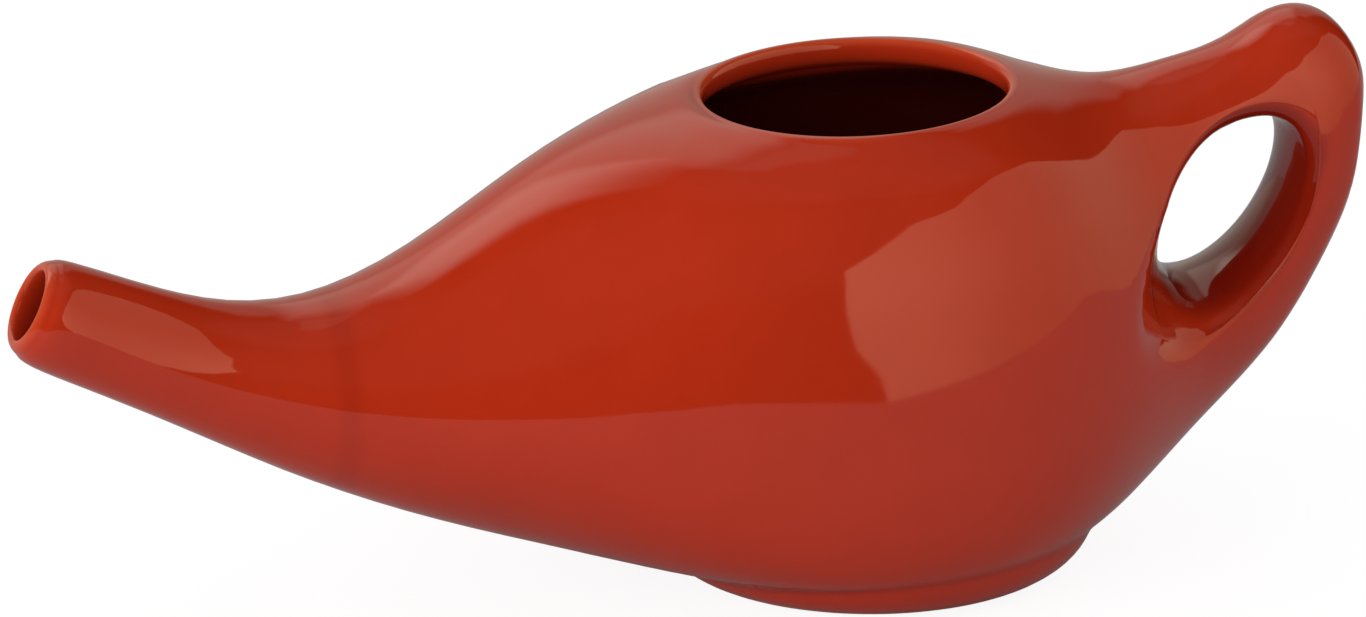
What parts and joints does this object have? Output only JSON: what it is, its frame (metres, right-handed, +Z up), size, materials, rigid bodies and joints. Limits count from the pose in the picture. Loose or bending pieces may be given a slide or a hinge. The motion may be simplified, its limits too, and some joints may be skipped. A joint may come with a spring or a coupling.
{
  "type": "neti pot",
  "caption": "Glazed ceramic neti pot: a lamp-shaped bowl with an open mouth, a long tapering spout for rinsing the nose, and a looped finger handle.",
  "frame": {"origin": "centre of the ring of the foot, on the surface the pot stands on", "axes": "+Z up, -X along the spout, +X towards the handle, Y across the pot, which is the same on both sides of the plane Y = 0"},
  "size_m": [0.1883, 0.0728, 0.0739],
  "materials": {
    "glaze": "gloss orange-red glaze"
  },
  "bodies": {
    "root": {"pot": "glaze"}
  },
  "joints": []
}
